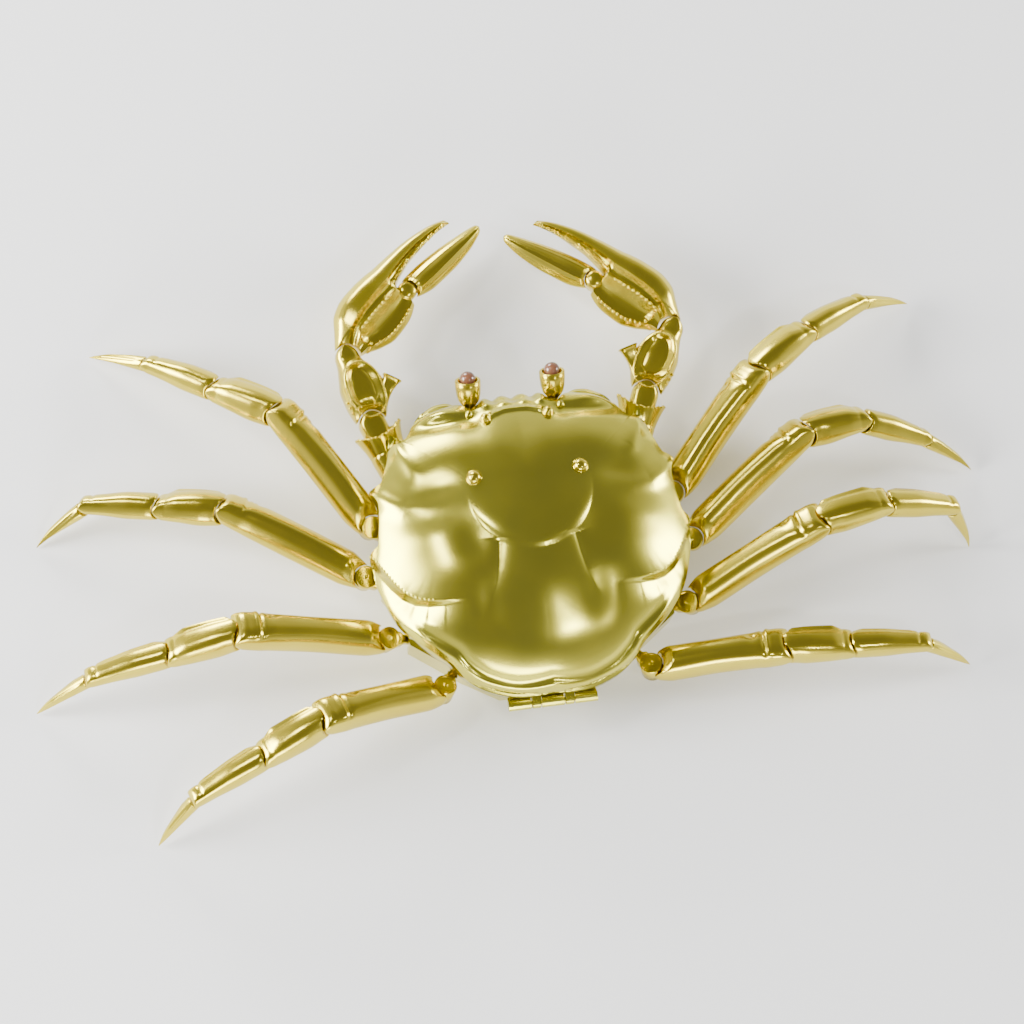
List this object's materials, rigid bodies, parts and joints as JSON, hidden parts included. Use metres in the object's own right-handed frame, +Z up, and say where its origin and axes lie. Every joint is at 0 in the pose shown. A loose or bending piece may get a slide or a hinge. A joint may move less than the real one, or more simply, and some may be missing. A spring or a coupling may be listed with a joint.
{
  "type": "crab figurine",
  "caption": "Articulated metal crab with a hinged carapace over a shallow compartment, jointed legs and claws that pose and hold by friction.",
  "frame": {"origin": "middle of the flat belly that the crab rests on", "axes": "+Y towards the crab's front, +X towards its right side, +Z up"},
  "size_m": [0.1921, 0.1167, 0.0263],
  "materials": {
    "cast_brass": "cast brass, gilded and satin polished",
    "bead_stone": "glossy rose-brown bead"
  },
  "bodies": {
    "tub": {"base_tub": "cast_brass", "abdomen_flap": "cast_brass", "hinge_pin": "cast_brass"},
    "lid": {"carapace_lid": "cast_brass", "carapace_studs": "cast_brass", "eye_cups": "cast_brass", "eye_beads": "bead_stone"},
    "left_leg_1_knuckle": {"left_leg_1_knuckle": "cast_brass"},
    "left_leg_1_thigh": {"left_leg_1_thigh": "cast_brass"},
    "left_leg_1_knee": {"left_leg_1_knee": "cast_brass"},
    "left_leg_1_shin": {"left_leg_1_shin": "cast_brass"},
    "left_leg_1_toe": {"left_leg_1_toe": "cast_brass"},
    "left_leg_2_knuckle": {"left_leg_2_knuckle": "cast_brass"},
    "left_leg_2_thigh": {"left_leg_2_thigh": "cast_brass"},
    "left_leg_2_knee": {"left_leg_2_knee": "cast_brass"},
    "left_leg_2_shin": {"left_leg_2_shin": "cast_brass"},
    "left_leg_2_toe": {"left_leg_2_toe": "cast_brass"},
    "left_leg_3_knuckle": {"left_leg_3_knuckle": "cast_brass"},
    "left_leg_3_thigh": {"left_leg_3_thigh": "cast_brass"},
    "left_leg_3_knee": {"left_leg_3_knee": "cast_brass"},
    "left_leg_3_shin": {"left_leg_3_shin": "cast_brass"},
    "left_leg_3_toe": {"left_leg_3_toe": "cast_brass"},
    "left_leg_4_knuckle": {"left_leg_4_knuckle": "cast_brass"},
    "left_leg_4_thigh": {"left_leg_4_thigh": "cast_brass"},
    "left_leg_4_knee": {"left_leg_4_knee": "cast_brass"},
    "left_leg_4_shin": {"left_leg_4_shin": "cast_brass"},
    "left_leg_4_toe": {"left_leg_4_toe": "cast_brass"},
    "left_claw_knuckle": {"left_claw_knuckle": "cast_brass"},
    "left_claw_arm": {"left_claw_arm": "cast_brass"},
    "left_claw_wrist": {"left_claw_wrist": "cast_brass"},
    "left_claw_palm": {"left_claw_palm": "cast_brass"},
    "left_claw_finger": {"left_claw_finger": "cast_brass"},
    "right_leg_1_knuckle": {"right_leg_1_knuckle": "cast_brass"},
    "right_leg_1_thigh": {"right_leg_1_thigh": "cast_brass"},
    "right_leg_1_knee": {"right_leg_1_knee": "cast_brass"},
    "right_leg_1_shin": {"right_leg_1_shin": "cast_brass"},
    "right_leg_1_toe": {"right_leg_1_toe": "cast_brass"},
    "right_leg_2_knuckle": {"right_leg_2_knuckle": "cast_brass"},
    "right_leg_2_thigh": {"right_leg_2_thigh": "cast_brass"},
    "right_leg_2_knee": {"right_leg_2_knee": "cast_brass"},
    "right_leg_2_shin": {"right_leg_2_shin": "cast_brass"},
    "right_leg_2_toe": {"right_leg_2_toe": "cast_brass"},
    "right_leg_3_knuckle": {"right_leg_3_knuckle": "cast_brass"},
    "right_leg_3_thigh": {"right_leg_3_thigh": "cast_brass"},
    "right_leg_3_knee": {"right_leg_3_knee": "cast_brass"},
    "right_leg_3_shin": {"right_leg_3_shin": "cast_brass"},
    "right_leg_3_toe": {"right_leg_3_toe": "cast_brass"},
    "right_leg_4_knuckle": {"right_leg_4_knuckle": "cast_brass"},
    "right_leg_4_thigh": {"right_leg_4_thigh": "cast_brass"},
    "right_leg_4_knee": {"right_leg_4_knee": "cast_brass"},
    "right_leg_4_shin": {"right_leg_4_shin": "cast_brass"},
    "right_leg_4_toe": {"right_leg_4_toe": "cast_brass"},
    "right_claw_knuckle": {"right_claw_knuckle": "cast_brass"},
    "right_claw_arm": {"right_claw_arm": "cast_brass"},
    "right_claw_wrist": {"right_claw_wrist": "cast_brass"},
    "right_claw_palm": {"right_claw_palm": "cast_brass"},
    "right_claw_finger": {"right_claw_finger": "cast_brass"}
  },
  "joints": [
    {"name": "lid_hinge", "type": "hinge", "parent": "tub", "child": "lid", "pos_m": [0, -0.0313, 0.0109], "axis": [1, 0, 0], "range_deg": [0, 100]},
    {"name": "left_leg_1_lift", "type": "hinge", "parent": "tub", "child": "left_leg_1_knuckle", "pos_m": [-0.0256, 0.0046, 0.0057], "axis": [0.5878, 0.809, 0], "range_deg": [-18, 2]},
    {"name": "left_leg_1_swing", "type": "hinge", "parent": "left_leg_1_knuckle", "child": "left_leg_1_thigh", "pos_m": [-0.0303, 0.00801, 0.0072], "axis": [0.2026, -0.1472, 0.9681], "range_deg": [-4, 22]},
    {"name": "left_leg_1_knee_fold", "type": "hinge", "parent": "left_leg_1_thigh", "child": "left_leg_1_knee", "pos_m": [-0.04488, 0.03101, 0.01375], "axis": [-0.5289, -0.5251, 0.6668], "range_deg": [-36.5, 8.5]},
    {"name": "left_leg_1_shin_fold", "type": "hinge", "parent": "left_leg_1_knee", "child": "left_leg_1_shin", "pos_m": [-0.05623, 0.03834, 0.01051], "axis": [-0.5289, -0.5251, 0.6668], "range_deg": [-6, 41]},
    {"name": "left_leg_1_toe_fold", "type": "hinge", "parent": "left_leg_1_shin", "child": "left_leg_1_toe", "pos_m": [-0.06913, 0.04643, 0.00666], "axis": [-0.5289, -0.5251, 0.6668], "range_deg": [-15, 45]},
    {"name": "left_leg_2_lift", "type": "hinge", "parent": "tub", "child": "left_leg_2_knuckle", "pos_m": [-0.0276, -0.0046, 0.0056], "axis": [0.4848, 0.8746, 0], "range_deg": [-20, 12]},
    {"name": "left_leg_2_swing", "type": "hinge", "parent": "left_leg_2_knuckle", "child": "left_leg_2_thigh", "pos_m": [-0.03279, -0.00172, 0.00649], "axis": [0.1293, -0.0717, 0.989], "range_deg": [-18, 30]},
    {"name": "left_leg_2_knee_fold", "type": "hinge", "parent": "left_leg_2_thigh", "child": "left_leg_2_knee", "pos_m": [-0.0573, 0.01392, 0.01082], "axis": [-0.2109, -0.5539, 0.8054], "range_deg": [-26, 19]},
    {"name": "left_leg_2_shin_fold", "type": "hinge", "parent": "left_leg_2_knee", "child": "left_leg_2_shin", "pos_m": [-0.06976, 0.01644, 0.0093], "axis": [-0.2109, -0.5539, 0.8054], "range_deg": [-6, 41]},
    {"name": "left_leg_2_toe_fold", "type": "hinge", "parent": "left_leg_2_shin", "child": "left_leg_2_toe", "pos_m": [-0.08477, 0.01927, 0.00731], "axis": [-0.2109, -0.5539, 0.8054], "range_deg": [-41, 19]},
    {"name": "left_leg_3_lift", "type": "hinge", "parent": "tub", "child": "left_leg_3_knuckle", "pos_m": [-0.0246, -0.0149, 0.0055], "axis": [0.0349, 0.9994, 0], "range_deg": [-20, 12]},
    {"name": "left_leg_3_swing", "type": "hinge", "parent": "left_leg_3_knuckle", "child": "left_leg_3_thigh", "pos_m": [-0.03024, -0.0147, 0.00755], "axis": [0.3418, -0.0119, 0.9397], "range_deg": [-24, 22]},
    {"name": "left_leg_3_knee_fold", "type": "hinge", "parent": "left_leg_3_thigh", "child": "left_leg_3_knee", "pos_m": [-0.05743, -0.01172, 0.01748], "axis": [0.0288, -0.9329, 0.359], "range_deg": [-35.5, 9.5]},
    {"name": "left_leg_3_shin_fold", "type": "hinge", "parent": "left_leg_3_knee", "child": "left_leg_3_shin", "pos_m": [-0.07087, -0.01335, 0.01433], "axis": [0.0288, -0.9329, 0.359], "range_deg": [-6, 41]},
    {"name": "left_leg_3_toe_fold", "type": "hinge", "parent": "left_leg_3_shin", "child": "left_leg_3_toe", "pos_m": [-0.08732, -0.01545, 0.01018], "axis": [0.0288, -0.9329, 0.359], "range_deg": [-26, 34]},
    {"name": "left_leg_4_lift", "type": "hinge", "parent": "tub", "child": "left_leg_4_knuckle", "pos_m": [-0.0174, -0.0218, 0.0054], "axis": [-0.7986, 0.6018, 0], "range_deg": [-20, 7]},
    {"name": "left_leg_4_swing", "type": "hinge", "parent": "left_leg_4_knuckle", "child": "left_leg_4_thigh", "pos_m": [-0.0206, -0.02605, 0.00817], "axis": [0.2779, 0.3688, 0.887], "range_deg": [-20, 20]},
    {"name": "left_leg_4_knee_fold", "type": "hinge", "parent": "left_leg_4_thigh", "child": "left_leg_4_knee", "pos_m": [-0.04338, -0.0299, 0.01691], "axis": [0.2919, -0.8807, 0.373], "range_deg": [-34, 11]},
    {"name": "left_leg_4_shin_fold", "type": "hinge", "parent": "left_leg_4_knee", "child": "left_leg_4_shin", "pos_m": [-0.05535, -0.03491, 0.01445], "axis": [0.2919, -0.8807, 0.373], "range_deg": [-6, 41]},
    {"name": "left_leg_4_toe_fold", "type": "hinge", "parent": "left_leg_4_shin", "child": "left_leg_4_toe", "pos_m": [-0.07003, -0.04117, 0.01115], "axis": [0.2919, -0.8807, 0.373], "range_deg": [-34, 26]},
    {"name": "left_claw_lift", "type": "hinge", "parent": "tub", "child": "left_claw_knuckle", "pos_m": [-0.017, 0.0085, 0.0046], "axis": [0.7547, 0.6561, 0], "range_deg": [-15, 2]},
    {"name": "left_claw_swing", "type": "hinge", "parent": "left_claw_knuckle", "child": "left_claw_arm", "pos_m": [-0.02089, 0.01298, 0.00549], "axis": [0.097, -0.1116, 0.989], "range_deg": [-2.5, 11]},
    {"name": "left_claw_elbow_turn", "type": "hinge", "parent": "left_claw_arm", "child": "left_claw_wrist", "pos_m": [-0.02732, 0.02864, 0.00788], "axis": [0.097, -0.1116, 0.989], "range_deg": [-2.5, 20]},
    {"name": "left_claw_wrist_turn", "type": "hinge", "parent": "left_claw_wrist", "child": "left_claw_palm", "pos_m": [-0.03078, 0.04229, 0.00976], "axis": [0.097, -0.1116, 0.989], "range_deg": [-22, 33]},
    {"name": "left_claw_finger_open", "type": "hinge", "parent": "left_claw_palm", "child": "left_claw_finger", "pos_m": [-0.0172, 0.05486, 0.00985], "axis": [-0.097, 0.1116, -0.989], "range_deg": [-10.5, 22.5]},
    {"name": "right_leg_1_lift", "type": "hinge", "parent": "tub", "child": "right_leg_1_knuckle", "pos_m": [0.0256, 0.0046, 0.0057], "axis": [0.5878, -0.809, 0], "range_deg": [-18, 3]},
    {"name": "right_leg_1_swing", "type": "hinge", "parent": "right_leg_1_knuckle", "child": "right_leg_1_thigh", "pos_m": [0.03032, 0.00803, 0.0071], "axis": [-0.1889, -0.1372, 0.9724], "range_deg": [-12, 12]},
    {"name": "right_leg_1_knee_fold", "type": "hinge", "parent": "right_leg_1_thigh", "child": "right_leg_1_knee", "pos_m": [0.04844, 0.02839, 0.01349], "axis": [-0.4657, 0.6144, -0.6369], "range_deg": [-22.5, 22.5]},
    {"name": "right_leg_1_shin_fold", "type": "hinge", "parent": "right_leg_1_knee", "child": "right_leg_1_shin", "pos_m": [0.05997, 0.0361, 0.01251], "axis": [-0.4657, 0.6144, -0.6369], "range_deg": [-18, 29]},
    {"name": "right_leg_1_toe_fold", "type": "hinge", "parent": "right_leg_1_shin", "child": "right_leg_1_toe", "pos_m": [0.07374, 0.04261, 0.00872], "axis": [-0.4657, 0.6144, -0.6369], "range_deg": [-27.5, 32.5]},
    {"name": "right_leg_2_lift", "type": "hinge", "parent": "tub", "child": "right_leg_2_knuckle", "pos_m": [0.0276, -0.0046, 0.0056], "axis": [0.4848, -0.8746, 0], "range_deg": [-20, 8]},
    {"name": "right_leg_2_swing", "type": "hinge", "parent": "right_leg_2_knuckle", "child": "right_leg_2_thigh", "pos_m": [0.03268, -0.00178, 0.0071], "axis": [-0.219, -0.1214, 0.9681], "range_deg": [-10, 10]},
    {"name": "right_leg_2_knee_fold", "type": "hinge", "parent": "right_leg_2_thigh", "child": "right_leg_2_knee", "pos_m": [0.05565, 0.01505, 0.01441], "axis": [-0.1663, 0.5748, -0.8012], "range_deg": [-33, 12]},
    {"name": "right_leg_2_shin_fold", "type": "hinge", "parent": "right_leg_2_knee", "child": "right_leg_2_shin", "pos_m": [0.06823, 0.01712, 0.01328], "axis": [-0.1663, 0.5748, -0.8012], "range_deg": [-33.5, 13.5]},
    {"name": "right_leg_2_toe_fold", "type": "hinge", "parent": "right_leg_2_shin", "child": "right_leg_2_toe", "pos_m": [0.08212, 0.01341, 0.00774], "axis": [-0.1663, 0.5748, -0.8012], "range_deg": [-16.5, 43.5]},
    {"name": "right_leg_3_lift", "type": "hinge", "parent": "tub", "child": "right_leg_3_knuckle", "pos_m": [0.0246, -0.0149, 0.0055], "axis": [0.0349, -0.9994, 0], "range_deg": [-20, 7]},
    {"name": "right_leg_3_swing", "type": "hinge", "parent": "right_leg_3_knuckle", "child": "right_leg_3_thigh", "pos_m": [0.03001, -0.01471, 0.00808], "axis": [-0.4302, -0.015, 0.9026], "range_deg": [-10, 12]},
    {"name": "right_leg_3_knee_fold", "type": "hinge", "parent": "right_leg_3_thigh", "child": "right_leg_3_knee", "pos_m": [0.0545, -0.00438, 0.01993], "axis": [-0.1508, 0.878, -0.4543], "range_deg": [-26.5, 18.5]},
    {"name": "right_leg_3_shin_fold", "type": "hinge", "parent": "right_leg_3_knee", "child": "right_leg_3_shin", "pos_m": [0.06819, -0.00195, 0.02008], "axis": [-0.1508, 0.878, -0.4543], "range_deg": [-31, 16]},
    {"name": "right_leg_3_toe_fold", "type": "hinge", "parent": "right_leg_3_shin", "child": "right_leg_3_toe", "pos_m": [0.08398, -0.00261, 0.01357], "axis": [-0.1508, 0.878, -0.4543], "range_deg": [-46.5, 13.5]},
    {"name": "right_leg_4_lift", "type": "hinge", "parent": "tub", "child": "right_leg_4_knuckle", "pos_m": [0.0174, -0.0218, 0.0054], "axis": [-0.7986, -0.6018, 0], "range_deg": [-20, 12]},
    {"name": "right_leg_4_swing", "type": "hinge", "parent": "right_leg_4_knuckle", "child": "right_leg_4_thigh", "pos_m": [0.02084, -0.02637, 0.0072], "axis": [-0.181, 0.2402, 0.9537], "range_deg": [-10, 12]},
    {"name": "right_leg_4_knee_fold", "type": "hinge", "parent": "right_leg_4_thigh", "child": "right_leg_4_knee", "pos_m": [0.04511, -0.02645, 0.01183], "axis": [0.0636, 0.9461, -0.3176], "range_deg": [-13, 32]},
    {"name": "right_leg_4_shin_fold", "type": "hinge", "parent": "right_leg_4_knee", "child": "right_leg_4_shin", "pos_m": [0.05826, -0.02745, 0.01148], "axis": [0.0636, 0.9461, -0.3176], "range_deg": [-6, 41]},
    {"name": "right_leg_4_toe_fold", "type": "hinge", "parent": "right_leg_4_shin", "child": "right_leg_4_toe", "pos_m": [0.0745, -0.02878, 0.01077], "axis": [0.0636, 0.9461, -0.3176], "range_deg": [-40, 20]},
    {"name": "right_claw_lift", "type": "hinge", "parent": "tub", "child": "right_claw_knuckle", "pos_m": [0.017, 0.0085, 0.0046], "axis": [0.7547, -0.6561, 0], "range_deg": [-15, 2]},
    {"name": "right_claw_swing", "type": "hinge", "parent": "right_claw_knuckle", "child": "right_claw_arm", "pos_m": [0.02089, 0.01298, 0.00549], "axis": [-0.097, -0.1116, 0.989], "range_deg": [-11, 2.5]},
    {"name": "right_claw_elbow_turn", "type": "hinge", "parent": "right_claw_arm", "child": "right_claw_wrist", "pos_m": [0.02759, 0.02852, 0.0079], "axis": [-0.097, -0.1116, 0.989], "range_deg": [-20, 2.5]},
    {"name": "right_claw_wrist_turn", "type": "hinge", "parent": "right_claw_wrist", "child": "right_claw_palm", "pos_m": [0.03459, 0.04071, 0.00996], "axis": [-0.097, -0.1116, 0.989], "range_deg": [-50, 5]},
    {"name": "right_claw_finger_open", "type": "hinge", "parent": "right_claw_palm", "child": "right_claw_finger", "pos_m": [0.02068, 0.05292, 0.00997], "axis": [-0.097, -0.1116, 0.989], "range_deg": [-11.5, 21.5]}
  ]
}
